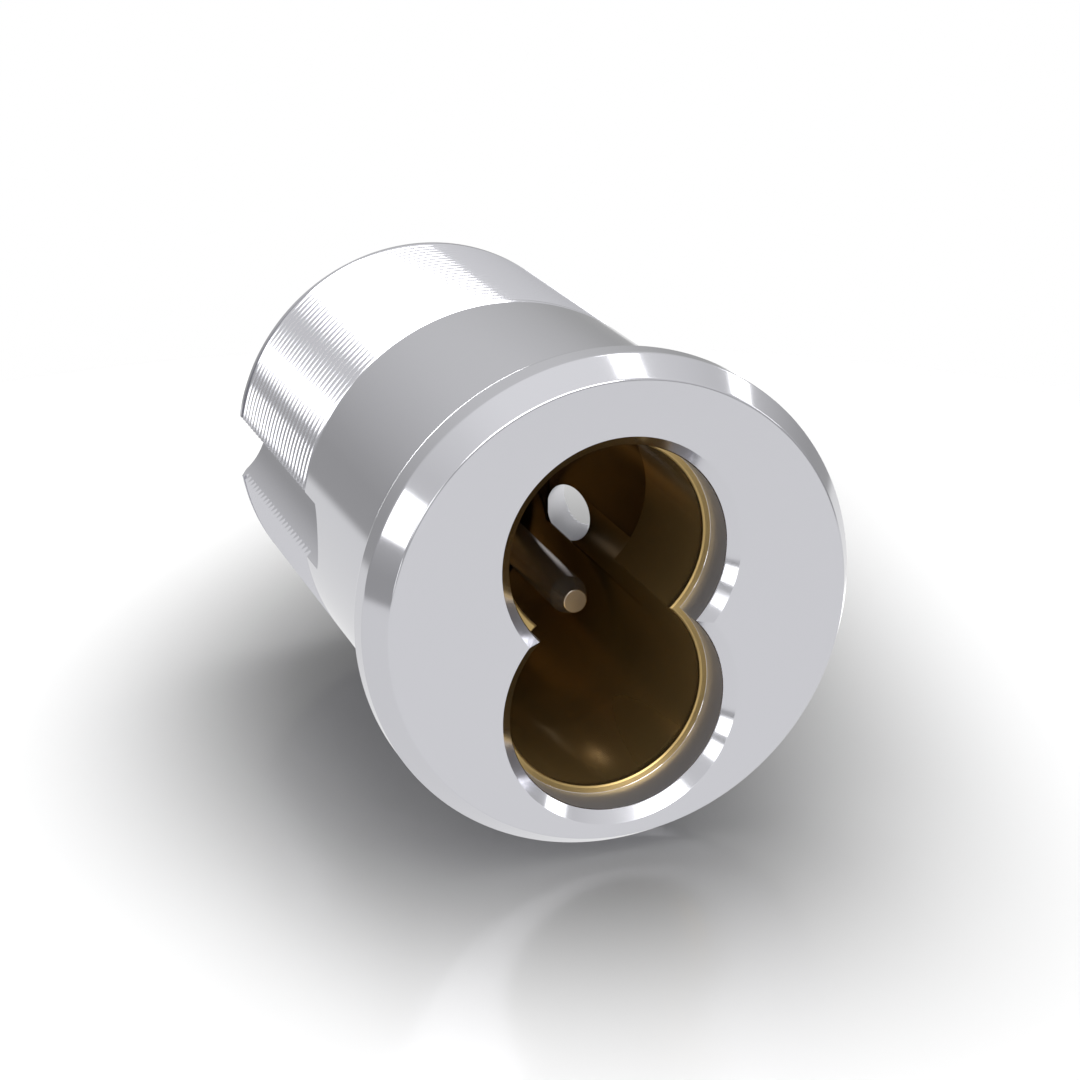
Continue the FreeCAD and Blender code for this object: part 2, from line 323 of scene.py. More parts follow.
def helix_cutter(crest, depth, pitch, start, end, height, segments):
    """Closed helical tool that cuts an outside thread between two places along Y.

    Across half a pitch, with u from 0 at the crest to 1 at the root, the radius is
    crest - depth * min(1, 0.83 (u + u^2)): flanks that steepen below a sharp crest. At the
    angle a the root lies at start + pitch a / 2 pi, and over its first third of a turn the tool
    sinks from above the crest to its full depth.
    """
    turn = np.arange(int(segments * (end - start + pitch) / pitch)) / segments
    angle = 2 * math.pi * turn[:, None]
    lift = (1 - np.clip(turn / 0.33, 0.0, 1.0))[:, None] * 1.15 * depth
    u = np.array([0.0, 0.12, 0.26, 0.42, 0.7])
    fall = np.minimum(0.83 * (u + u**2), 1.0) - 0.02 * (u == 0.0)
    over = crest + 2 * depth
    radial = np.concatenate([[over], crest - depth * fall, crest - depth * fall[::-1], [over]])
    axial = 0.49 * pitch * np.concatenate([[1.0], 1 - u, u[::-1] - 1, [-1.0]])
    radius = radial[None, :] + lift
    y = start + pitch / 2 + turn[:, None] * pitch + axial[None, :]
    return capped(np.stack([radius * np.cos(angle), y, height + radius * np.sin(angle)], axis=-1))


def groove_cutter(shell, groove, side):
    """Set-screw groove: two hollow flanks that meet in the middle, round at the front end.

    At the height z a flank lies at x = cx - sqrt(r^2 - (|z| + cz)^2), where the circle of radius
    r round (cx, -cz) passes through the deepest point and through the edge at the crests.
    """
    deep = np.array([shell.thread_radius - groove.depth, 0.0])
    edge = np.array([math.sqrt(shell.thread_radius**2 - groove.half_width**2), -groove.half_width])
    chord = edge - deep
    half = np.linalg.norm(chord) / 2
    rise = math.sqrt(groove.flank_radius**2 - half**2)
    centre = (deep + edge) / 2 + rise * np.array([-chord[1], chord[0]]) / (2 * half)
    middle = groove.start + groove.end_radius
    nose = middle - groove.end_radius * np.cos(np.linspace(0.0, math.pi / 2, 33))
    stations = np.concatenate([nose, [shell.body_length + PAST]])
    reach = np.clip(middle - stations, 0.0, groove.end_radius)
    width = np.maximum(np.sqrt(np.maximum(groove.end_radius**2 - reach**2, 0.0)), 0.02 * MM)
    across = width[:, None] * np.linspace(-1.0, 1.0, 65)[None, :]
    drop = np.abs(across) + centre[1]
    floor = centre[0] - np.sqrt(groove.flank_radius**2 - drop**2)
    rim = np.full((len(stations), 1), shell.thread_radius + 1.2 * MM)
    x = np.hstack([rim, floor, rim])
    z = np.hstack([across[:, :1], across, across[:, -1:]])
    y = np.broadcast_to(stations[:, None], x.shape)
    sections = np.stack([x * side, y, z], axis=-1)
    return capped(sections if side < 0 else sections[:, ::-1])


def arc(radius, height, start, end, count):
    """Points (radius cos a, height + radius sin a), with a from start to end."""
    angle = np.linspace(start, end, count)
    return np.column_stack([radius * np.cos(angle), height + radius * np.sin(angle)])


def recess_outline(opening, inset=0.0):
    """Upright recess of the core's lug: a half circle over two straight sides."""
    half = opening.recess_half_width - inset
    foot = [(-half, opening.recess_ledge_height), (half, opening.recess_ledge_height)]
    return np.vstack([arc(half, opening.upper_lobe_height, 0.0, math.pi, 96), foot])


def cam_outline(sizes, inset):
    """Round hub end and round tip, joined by the two lines tangent to both.

    The tangents lean by the angle whose sine is the difference of the radii over the distance
    of the centres, which an equal inset of both radii doesn't change.
    """
    tip_z = CAM_HIGH.z - sizes.cam_tip_radius
    hub_z = CAM_LOW.z + sizes.cam_hub_radius
    lean = math.asin((sizes.cam_hub_radius - sizes.cam_tip_radius) / (tip_z - hub_z))
    return np.vstack([
        arc(sizes.cam_tip_radius - inset, tip_z, lean, math.pi - lean, 48),
        arc(sizes.cam_hub_radius - inset, hub_z, math.pi - lean, 2 * math.pi + lean, 96),
    ])


def hole_axis(shell, opening):
    """Direction of the slanting hole, and the point where it leaves the thread."""
    bearing, tilt = opening.slant_hole_bearing, opening.slant_hole_tilt
    outward = np.array([math.cos(bearing), 0.0, math.sin(bearing)])
    way = outward * math.sin(tilt) + np.array([0.0, math.cos(tilt), 0.0])
    return way, outward * shell.thread_radius + np.array([0.0, opening.slant_hole_exit, 0.0])


def open_ring(inner, outer, start, end, height, gap, edge, count=120):
    """Spring ring with a gap below: an eight-sided section carried round its axis."""
    half_gap = math.asin(gap / 2 / ((inner + outer) / 2))
    angle = np.linspace(half_gap - math.pi / 2, 1.5 * math.pi - half_gap, count)[:, None]
    radius = np.array([inner + edge, outer - edge, outer, outer, outer - edge, inner + edge,
                       inner, inner])
    along = np.array([start, start, start + edge, end - edge, end, end, end - edge, start + edge])
    return capped(np.stack([radius * np.cos(angle), np.broadcast_to(along, (count, 8)),
                            height + radius * np.sin(angle)], axis=-1))


# Meshes


def new_object(name, solid):
    """Object with the solid's mesh, at the origin."""
    points, quads, tris = solid
    mesh = bpy.data.meshes.new(name)
    mesh.vertices.add(len(points))
    mesh.vertices.foreach_set("co", np.ascontiguousarray(points, np.float32).ravel())
    corners = np.concatenate([quads.ravel(), tris.ravel()]).astype(np.int32)
    mesh.loops.add(len(corners))
    mesh.loops.foreach_set("vertex_index", corners)
    sizes = np.concatenate([np.full(len(quads), 4), np.full(len(tris), 3)])
    starts = np.concatenate([[0], np.cumsum(sizes)[:-1]]).astype(np.int32)
    mesh.polygons.add(len(sizes))
    mesh.polygons.foreach_set("loop_start", starts)
    mesh.update(calc_edges=True)
    mesh.validate()
    made = bpy.data.objects.new(name, mesh)
    bpy.context.scene.collection.objects.link(made)
    return made


def values(items, name, width=3, kind=np.float32):
    """One property of all the items, as rows of the given width."""
    flat = np.empty(len(items) * width, kind)
    items.foreach_get(name, flat)
    return flat.reshape(-1, width)


def shut(made):
    """True if every edge of the object's mesh lies between two faces."""
    edges = values(made.data.loops, "edge_index", 1, np.int32)[:, 0]
    count = len(made.data.edges)
    return count > 0 and bool(np.all(np.bincount(edges, minlength=count) == 2))


def facing_out(made):
    """Turns all faces round if the mesh encloses a negative volume."""
    mesh = made.data
    mesh.calc_loop_triangles()
    corners = values(mesh.loop_triangles, "vertices", 3, np.int32)
    a, b, c = values(mesh.vertices, "co").astype(float)[corners].transpose(1, 0, 2)
    if np.einsum("ij,ij->i", a, np.cross(b, c)).sum() < 0:
        mesh.flip_normals()
    return made


def carved(made, cuts, operation="DIFFERENCE"):
    """The object's mesh after each cutter has been taken from it, or joined to it."""
    facing_out(made)
    helpers = [cut if isinstance(cut, bpy.types.Object) else
               facing_out(new_object(made.name + "_cut", cut)) for cut in cuts]
    for helper in helpers:
        step = made.modifiers.new(helper.name, "BOOLEAN")
        step.operation = operation
        step.solver = "MANIFOLD"
        step.object = helper
    graph = bpy.context.evaluated_depsgraph_get()
    mesh = bpy.data.meshes.new_from_object(made.evaluated_get(graph))
    made.modifiers.clear()
    mesh.materials.clear()
    made.data = mesh
    mesh.name = made.name
    for helper in helpers:
        bpy.data.objects.remove(helper)
    if not shut(made):
        raise RuntimeError(made.name + " did not come out as one closed surface")
    return made


def settle(made, angle, finishes, body, node):
    """Finishes a piece: it stands for its CAD node, takes its materials and rides on its body.

    It is shaded smooth, with sharp edges where two faces meet at more than the angle.
    """
    mesh = made.data
    mesh.polygons.foreach_set("use_smooth", np.ones(len(mesh.polygons), bool))
    mesh.set_sharp_from_angle(angle=math.radians(angle))
    for finish in finishes:
        mesh.materials.append(finish)
    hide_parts(node)
    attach(made, body)


# Shading


class Field:
    """A node's output, with arithmetic that adds Math nodes."""

    def __init__(self, kit, socket):
        self.kit = kit
        self.socket = socket

    def _math(self, operation, *values, clamp=False):
        settings = {"operation": operation, "use_clamp": clamp}
        return self.kit.out(self.kit.node("ShaderNodeMath", settings, dict(enumerate(values))))

    def __add__(self, other):
        return self._math("ADD", self, other)

    __radd__ = __add__

    def __sub__(self, other):
        return self._math("SUBTRACT", self, other)

    def __rsub__(self, other):
        return self._math("SUBTRACT", other, self)

    def __mul__(self, other):
        return self._math("MULTIPLY", self, other)

    __rmul__ = __mul__

    def __truediv__(self, other):
        return self._math("DIVIDE", self, other)

    def power(self, other):
        return self._math("POWER", self, other)

    def above(self, other):
        return self._math("GREATER_THAN", self, other)

    def clipped(self):
        return self._math("ADD", self, 0.0, clamp=True)


def toned(colour, factor):
    """The colour made lighter or darker by a factor, at most white."""
    return tuple(min(1.0, factor * part) for part in colour)


class ShaderKit:
    """The nodes of a new material, or of an owner such as a world."""

    def __init__(self, name, owner=None):
        self.material = owner or bpy.data.materials.new(name)
        self.material.use_nodes = True
        self.tree = self.material.node_tree
        self.tree.nodes.clear()

    def node(self, kind, settings=None, inputs=None):
        """Adds a node: its settings first, then the value or link of each input."""
        made = self.tree.nodes.new(kind)
        for key, value in (settings or {}).items():
            if key == "stops":
                self.stops(made.color_ramp, value)
            else:
                setattr(made, key, value)
        for key, value in (inputs or {}).items():
            if isinstance(value, Field):
                self.tree.links.new(value.socket, made.inputs[key])
            else:
                made.inputs[key].default_value = value
        return made

    def stops(self, ramp, stops):
        while len(ramp.elements) < len(stops):
            ramp.elements.new(0.5)
        for element, (place, value) in zip(ramp.elements, stops):
            element.position = place
            element.color = (*value, 1.0)

    def out(self, node, name=0):
        return Field(self, node.outputs[name])

    def place(self):
        """Object coordinates, and their X, Y and Z."""
        where = self.out(self.node("ShaderNodeTexCoord"), "Object")
        parts = self.node("ShaderNodeSeparateXYZ", None, {0: where})
        return where, [self.out(parts, axis) for axis in "XYZ"]

    def noise(self, where, scale, detail=2.0, roughness=0.5, stretch=(1, 1, 1)):
        """Noise from 0 to 1 over the surface."""
        moved = self.node("ShaderNodeMapping", None, {"Vector": where, "Scale": stretch})
        return self.out(self.node("ShaderNodeTexNoise", None, {
            "Vector": self.out(moved), "Scale": scale, "Detail": detail, "Roughness": roughness}))

    def blend(self, factor, low, high):
        """Colour between two colours."""
        return self.out(self.node("ShaderNodeMix", {"data_type": "RGBA"}, {
            0: factor, 6: self.opaque(low), 7: self.opaque(high)}), 2)

    def opaque(self, colour):
        """A link as it is, or a colour with its fourth number."""
        return colour if isinstance(colour, Field) else (*colour, 1.0)

    def bump(self, height, distance, strength):
        """Normal from a height."""
        return self.out(self.node("ShaderNodeBump", None, {
            "Height": height, "Distance": distance, "Strength": strength}))

    def finish(self, base, roughness, metallic, normal):
        """Principled surface joined to the output."""
        surface = self.node("ShaderNodeBsdfPrincipled", None, {
            "Base Color": base, "Roughness": roughness, "Metallic": metallic, "Normal": normal})
        self.node("ShaderNodeOutputMaterial", None, {"Surface": self.out(surface)})
        return self.material


STAIN = (0.12, 0.08, 0.04)


def plate_material(shell, finishes):
    """Chrome plate: satin on the face, polished on the bevels, faint turning rings on the body."""
    kit = ShaderKit("satin_chrome")
    where, (_, y, _) = kit.place()
    grain = kit.noise(where, 1500.0, 2.0, 0.6)
    cloud = kit.noise(where, 70.0, 2.0, 0.5)
    rings = kit.noise(where, 900.0, 2.0, 0.6, (0.02, 1.0, 0.02))
    on_face = 1 - y.above(0.01 * MM - shell.head_thickness)
    on_body = y.above(0.2 * MM)
    satin = finishes.plate_roughness - finishes.bevel_roughness
    roughness = finishes.bevel_roughness + on_face * satin + (grain - 0.5) * 0.03 + (cloud - 0.5) * 0.02
    tone = kit.blend((cloud - 0.5) * 0.6 + 0.5, toned(finishes.plate_colour, 0.99),
                     toned(finishes.plate_colour, 1.01))
    relief = grain * (0.3 + on_face * 0.4) + rings * on_body * 0.9
    return kit.finish(tone, roughness, 1.0, kit.bump(relief, 0.0000015, 0.2))


def bore_material(finishes):
    """Plated wall of the mouth and of the slanting hole, matt from the tool."""
    kit = ShaderKit("bored_plate")
    where, _ = kit.place()
    rings = kit.noise(where, 700.0, 2.0, 0.6, (0.03, 1.0, 0.03))
    tone = kit.blend(rings, toned(finishes.plate_colour, 0.9), toned(finishes.plate_colour, 0.95))
    return kit.finish(tone, finishes.bore_roughness + (rings - 0.5) * 0.06, 0.7,
                      kit.bump(rings, 0.000003, 0.3))


def brass_material(name, finishes, shade_from, shade_above=0.0):
    """Bare bored brass with fine tool rings.

    It is bright on the seat ring and tarnished behind it, and from 5 to 17 mm past the given depth
    its colour darkens into painted shade. Above the given height that begins at once, with a step.
    """
    kit = ShaderKit(name)
    where, (_, y, z) = kit.place()
    rings = kit.noise(where, 700.0, 2.0, 0.6, (0.03, 1.0, 0.03))
    cloud = kit.noise(where, 120.0, 3.0, 0.55)
    behind = ((y + 0.4 * MM) / (0.6 * MM)).clipped()
    # Painted shade: darker with depth into the cavity, and at once past the shoulder above the lobes'
    # middle
    step = y.above(shade_from) * z.above(shade_above) * 1.5
    deep = ((y - shade_from - 5 * MM) / (12 * MM) + step).clipped()
    shoulder = kit.blend(deep, finishes.shoulder_colour, finishes.depth_shade_colour)
    tone = kit.blend(behind, finishes.brass_colour, shoulder)
    tone = kit.blend((0.5 - cloud) * 0.2 + 0.05, tone, STAIN)
    roughness = finishes.brass_roughness - behind * 0.13 + (cloud - 0.5) * 0.06 + (rings - 0.5) * 0.04
    metal = 1 - behind * finishes.brass_tarnish
    return kit.finish(tone, roughness, metal, kit.bump(rings, 0.000003, 0.3))


def steel_material(name, tint, roughness, metal=1.0):
    """Plain steel with a fine worked grain. The film of oil on it is its share that isn't metal."""
    kit = ShaderKit(name)
    where, _ = kit.place()
    grain = kit.noise(where, 500.0, 3.0, 0.6)
    tone = kit.blend(grain, toned(tint, 0.9), toned(tint, 1.1))
    return kit.finish(tone, roughness + (grain - 0.5) * 0.08, metal, kit.bump(grain, 0.000003, 0.25))


def rolled_material(name, tint, roughness):
    """Zinc plate over rolled steel: faint streaks across the sheet and soft clouds."""
    kit = ShaderKit(name)
    where, _ = kit.place()
    streaks = kit.noise(where, 500.0, 3.0, 0.6, (1.0, 1.0, 0.05))
    cloud = kit.noise(where, 160.0, 3.0, 0.6)
    tone = kit.blend(cloud, toned(tint, 0.86), toned(tint, 1.08))
    return kit.finish(tone, roughness + (cloud - 0.5) * 0.16 + (streaks - 0.5) * 0.08, 1.0,
                      kit.bump(streaks, 0.000004, 0.3))


# Operators


class CYLINDER_OT_housing(Operator):
    """Turn the shell, cut its thread, opening, recess, slanting hole and grooves"""

    bl_idname = "cylinder.housing"
    bl_label = "Housing"

    def execute(self, context):
        shell, opening = context.scene.shell_sizes, context.scene.opening_sizes
        groove, finishes = context.scene.groove_sizes, context.scene.finishes
        segments = context.scene.stage_settings.segments
        made = new_object("housing_shell", self.blank(shell, segments))
        cuts = [self.thread_tool(shell, segments)]
        cuts += [groove_cutter(shell, groove, side) for side in (1, -1)]
        cuts += self.cavity(shell, opening, segments)
        carved(made, cuts)
        between_lobes = (opening.upper_lobe_height + opening.lower_lobe_height) / 2
        zones = (plate_material(shell, finishes),
                 brass_material("bored_brass", finishes, opening.shoulder_end, between_lobes),
                 bore_material(finishes))
        settle(made, 24, zones, "housing_body", "housing")
        self.paint(made, shell, opening)
        return {"FINISHED"}

    def thread_tool(self, shell, segments):
        """Helical tool, cut off square in front of the plain land at the back end."""
        tool = new_object("thread_tool", helix_cutter(
            shell.thread_radius, shell.thread_depth, shell.thread_pitch, shell.neck_length,
            shell.body_length, 0.0, segments))
        land = shell.body_length - shell.rear_chamfer - shell.rear_land
        return carved(tool, [rod(shell.thread_radius + 5 * MM, land, shell.body_length + 3 * MM,
                                 0.0, segments)])

    def blank(self, shell, segments):
        """Head, neck and body as one turned solid, roundest at the back edge of the head."""
        face = -shell.head_thickness
        profile = [
            (0.0, face), (shell.face_radius, face),
            (shell.head_radius, face + shell.bevel_depth), (shell.head_radius, 0.0),
            (shell.thread_radius, 0.0), (shell.thread_radius, shell.body_length - shell.rear_chamfer),
            (shell.thread_radius - shell.rear_chamfer, shell.body_length), (0.0, shell.body_length),
        ]
        soft = shell.edge_break * np.array([1.8, 1.6, 4.2, 0.0, 0.0, 1.0])
        return turned(softened(profile, soft), 0.0, segments)

    def lobe(self, shell, opening, height, segments):
        """Chamfered mouth, straight mouth, seat ring and core bore of one lobe."""
        face = -shell.head_thickness
        seat = face + opening.mouth_depth
        mouth, core = opening.mouth_radius, opening.core_radius
        end, corner = opening.shoulder_end + PAST, 0.12 * MM
        profile = [
            (0.0, face - PAST), (mouth + opening.mouth_chamfer + PAST, face - PAST),
            (mouth, face + opening.mouth_chamfer), (mouth, seat),
            (core + corner, seat), (core, seat + corner), (core, end), (0.0, end),
        ]
        soft = shell.edge_break * np.array([0.0, 1.5, 0.8, 0.5, 0.5, 0.0])
        return turned(softened(profile, soft), height, segments)

    def slant_hole(self, shell, opening, segments):
        """Round hole in a plane through the thread's axis, tilted from that axis.

        It begins at the recess's upright side, so its first section is the ellipse in the plane
        x = recess_half_width, and it ends outside the thread.
        """
        way, exit_point = hole_axis(shell, opening)
        side = np.cross(way, (0.0, 1.0, 0.0))
        side /= np.linalg.norm(side)
        up = np.cross(way, side)
        angle = np.linspace(0.0, 2 * math.pi, segments // 2, endpoint=False)[:, None]
        circle = opening.slant_hole_radius * (side * np.cos(angle) + up * np.sin(angle))
        inner = opening.recess_half_width - HAIR
        first = (inner - exit_point[0] - circle[:, :1]) / way[0] * way
        last = np.broadcast_to(16 * MM * way, circle.shape)
        return capped(exit_point + circle + np.stack([first, last]))

    def cavity(self, shell, opening, segments):
        """Every cutter of the opening, from the mouth to the back."""
        lower, past = opening.lower_lobe_height, shell.body_length + PAST
        return [
            self.lobe(shell, opening, opening.upper_lobe_height, segments),
            self.lobe(shell, opening, lower, segments),
            rod(opening.driver_bore_radius, opening.shoulder_end, opening.web_front, lower, segments),
            self.recess(opening),
            self.recess_rim(opening, lower, segments),
            self.slant_hole(shell, opening, segments),
            rod(opening.hub_bore_radius, opening.web_front - PAST, past, lower, segments),
            rod(opening.ring_hollow_radius, opening.ring_hollow_front, past, lower, segments),
        ]

    def recess(self, opening):
        """Recess of the lug, with its far corner cut off."""
        corner = opening.recess_rim_chamfer
        return prism((recess_outline(opening), opening.shoulder_end),
                     (recess_outline(opening), opening.recess_end - corner),
                     (recess_outline(opening, corner), opening.recess_end))

    def recess_rim(self, opening, height, segments):
        """Chamfer where the floor of the recess meets the driver's bore, above the ledges."""
        corner, bore, end = opening.recess_rim_chamfer, opening.driver_bore_radius, opening.recess_end
        low = math.asin((opening.recess_ledge_height - height) / bore)
        angle = np.linspace(low, math.pi - low, segments // 2)[:, None]
        radius = bore + np.array([-PAST, corner, corner, 0.0, -PAST])
        along = end + np.array([-HAIR, -HAIR, 0.0, corner, corner])
        return capped(np.stack([radius * np.cos(angle), np.broadcast_to(along, (len(angle), 5)),
                                height + radius * np.sin(angle)], axis=-1))

    def paint(self, made, shell, opening):
        """Brass behind the seat ring, satin on the wall of the mouth and in the slanting hole."""
        faces = made.data.polygons
        centre, normal = values(faces, "center"), values(faces, "normal")
        x, y, z = centre.T
        near = 2 * HAIR
        seat = opening.mouth_depth - shell.head_thickness
        off_lobes = np.minimum(np.hypot(x, z - opening.upper_lobe_height),
                               np.hypot(x, z - opening.lower_lobe_height))
        recess_top = opening.upper_lobe_height + opening.recess_half_width / 2
        in_recess = (np.abs(x) < opening.recess_half_width + near) & (y > opening.shoulder_end - HAIR)
        in_recess &= (z > opening.lower_lobe_height) & (z < recess_top)
        inside = (off_lobes < opening.mouth_radius - near) | in_recess
        inside &= (y > seat - HAIR) & (y < opening.ring_hollow_front - HAIR)
        way, exit_point = hole_axis(shell, opening)
        from_exit = centre - exit_point
        off_axis = np.linalg.norm(from_exit - np.outer(from_exit @ way, way), axis=1)
        hole_wall = np.abs(off_axis - opening.slant_hole_radius) < 1.5 * near
        hole_wall &= (np.abs(normal @ way) < 0.05) & (x > opening.recess_half_width - 5 * near)
        mouth_wall = (y > opening.mouth_chamfer - shell.head_thickness + near) & (y < seat - HAIR)
        mouth_wall &= (np.abs(normal[:, 1]) < 0.3) & (off_lobes < opening.mouth_radius + near)
        zone = np.where(hole_wall | mouth_wall, 2, inside)
        faces.foreach_set("material_index", zone.astype(np.int32))


class CYLINDER_OT_drive_pins(Operator):
    """Turn the two drive pins with their tapered tips"""

    bl_idname = "cylinder.drive_pins"
    bl_label = "Drive pins"

    def execute(self, context):
        sizes = context.scene.driver_sizes
        finish = steel_material("pin_steel", context.scene.finishes.pin_colour, 0.25, 0.78)
        for side, node in ((1, "drive_pin_right"), (-1, "drive_pin_left")):
            low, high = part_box(node)
            radius = (high.x - low.x) / 2
            profile = [
                (0.0, low.y), (sizes.pin_tip_radius, low.y), (radius, low.y + sizes.pin_tip_length),
                (radius, high.y), (0.0, high.y),
            ]
            solid = turned(softened(profile, np.array([0.06, 0.2, 0.02]) * MM), (low.z + high.z) / 2, 96)
            solid[0][:, 0] += side * sizes.pin_offset
            made = facing_out(new_object(node + "_turned", solid))
            settle(made, 30, [finish], "driver_body", node)
        return {"FINISHED"}


class CYLINDER_OT_driver(Operator):
    """Turn the driver's disc and hub, add the key bar, drill it for pins and screws"""

    bl_idname = "cylinder.driver"
    bl_label = "Driver"

    def execute(self, context):
        sizes, finishes = context.scene.driver_sizes, context.scene.finishes
        height = (DISC_LOW.z + TENON_HIGH.z) / 2
        made = new_object("driver_turned", self.blank(sizes, height))
        bar = block((-sizes.tenon_half_length, sizes.hub_end - 0.5 * MM, height - sizes.tenon_half_width),
                    (sizes.tenon_half_length, TENON_HIGH.y, height + sizes.tenon_half_width), 0.1 * MM)
        carved(made, [bar], "UNION")
        carved(made, self.holes(sizes, height))
        finish = brass_material("turned_brass", finishes, TENON_HIGH.y)
        settle(made, 28, [finish], "driver_body", "driver")
        return {"FINISHED"}

    def blank(self, sizes, height):
        """Disc, hub and the groove of the retaining ring."""
        disc, hub, groove = sizes.disc_radius, sizes.hub_radius, sizes.ring_groove_radius
        disc_back = DISC_LOW.y + sizes.disc_thickness
        groove_front = sizes.ring_groove_front
        groove_back = groove_front + sizes.ring_groove_width
        profile = [
            (0.0, DISC_LOW.y), (disc, DISC_LOW.y), (disc, disc_back), (hub, disc_back),
            (hub, groove_front), (groove, groove_front), (groove, groove_back),
            (hub, groove_back), (hub, sizes.hub_end), (0.0, sizes.hub_end),
        ]
        soft = np.array([0.12, 0.12, 0.05, 0.05, 0.05, 0.05, 0.05, 0.15]) * MM
        return turned(softened(profile, soft), height, 160)

    def holes(self, sizes, height):
        """Blind holes for the pins, and tapped holes for the cam's screws."""
        cuts = []
        low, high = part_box("drive_pin_right")
        for side in (1, -1):
            pin_hole = rod((high.x - low.x) / 2 + HAIR, DISC_LOW.y - PAST,
                           DISC_LOW.y + sizes.pin_seat_depth, height, 64)
            pin_hole[0][:, 0] += side * sizes.pin_offset
            cuts.append(pin_hole)
            cuts.append(rod(sizes.screw_radius + 2 * HAIR, sizes.hub_end - sizes.screw_depth,
                            sizes.hub_end + 2 * PAST, height + side * sizes.screw_offset, 64))
        return cuts


class CYLINDER_OT_retaining_ring(Operator):
    """Bend the open spring ring that holds the driver"""

    bl_idname = "cylinder.retaining_ring"
    bl_label = "Retaining ring"

    def execute(self, context):
        sizes = context.scene.driver_sizes
        outer = (RING_HIGH.x - RING_LOW.x) / 2
        solid = open_ring(sizes.ring_groove_radius + HAIR, outer, RING_LOW.y, RING_HIGH.y,
                          RING_HIGH.z - outer, sizes.ring_gap, 0.12 * MM)
        made = facing_out(new_object("retaining_ring_bent", solid))
        finish = steel_material("black_spring_steel", context.scene.finishes.ring_colour, 0.38)
        settle(made, 50, [finish], "driver_body", "retaining_ring")
        return {"FINISHED"}


class CYLINDER_OT_cam(Operator):
    """Stamp the cam, with its chamfered rim, key slot and screw holes"""

    bl_idname = "cylinder.cam"
    bl_label = "Cam"

    def execute(self, context):
        sizes = context.scene.driver_sizes
        hub_z = CAM_LOW.z + sizes.cam_hub_radius
        front, back, chamfer, burr = CAM_LOW.y, CAM_HIGH.y, sizes.cam_chamfer, 0.06 * MM
        rim = ((burr, front), (0.3 * burr, front + 0.3 * burr), (0.0, front + burr),
               (0.0, front + 1.4 * burr), (0.0, back - chamfer - 0.5 * burr),
               (0.0, back - chamfer), (chamfer, back))
        made = new_object("cam_stamped", prism(*((cam_outline(sizes, inset), y) for inset, y in rim)))
        half_length = sizes.tenon_half_length + 0.05 * MM
        half_width = sizes.tenon_half_width + 0.05 * MM
        cuts = [block((-half_length, front - PAST, hub_z - half_width),
                      (half_length, back + PAST, hub_z + half_width), 0.08 * MM)]
        hole, sunk = sizes.screw_radius + 0.05 * MM, 0.15 * MM
        profile = [(0, front - PAST), (hole, front - PAST), (hole, back - sunk),
                   (hole + sunk, back), (hole + sunk, back + PAST), (0, back + PAST)]
        for side in (1, -1):
            cuts.append(turned(profile, hub_z + side * sizes.screw_offset, 64))
        carved(made, cuts)
        finish = rolled_material("zinc_plate", context.scene.finishes.cam_colour, 0.3)
        settle(made, 24, [finish], "driver_body", "cam")
        return {"FINISHED"}


class CYLINDER_OT_cam_screws(Operator):
    """Turn, thread and slot the two screws that hold the cam"""

    bl_idname = "cylinder.cam_screws"
    bl_label = "Cam screws"

    def execute(self, context):
        sizes = context.scene.driver_sizes
        finish = rolled_material("screw_zinc", context.scene.finishes.cam_colour, 0.24)
        for node in ("cam_screw_upper", "cam_screw_lower"):
            low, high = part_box(node)
            height, head = (low.z + high.z) / 2, (high.x - low.x) / 2
            tip, shank = sizes.hub_end - sizes.screw_depth, sizes.screw_radius
            profile = [(0.0, tip), (shank, tip), (shank, CAM_HIGH.y),
                       (head, CAM_HIGH.y), (head, high.y), (0.0, high.y)]
            soft = np.array([0.2, 0.0, 0.08, 0.5]) * MM
            made = new_object(node + "_turned", turned(softened(profile, soft, 8), height, 96))
            slot = block((-head - PAST, high.y - sizes.screw_slot, height - sizes.screw_slot / 2),
                         (head + PAST, high.y + PAST, height + sizes.screw_slot / 2), 0.03 * MM)
            thread = helix_cutter(shank, sizes.screw_thread_depth, sizes.screw_pitch, tip,
                                  CAM_HIGH.y - 1 * MM, height, 48)
            carved(made, [slot, thread])
            settle(made, 28, [finish], "driver_body", node)
        return {"FINISHED"}


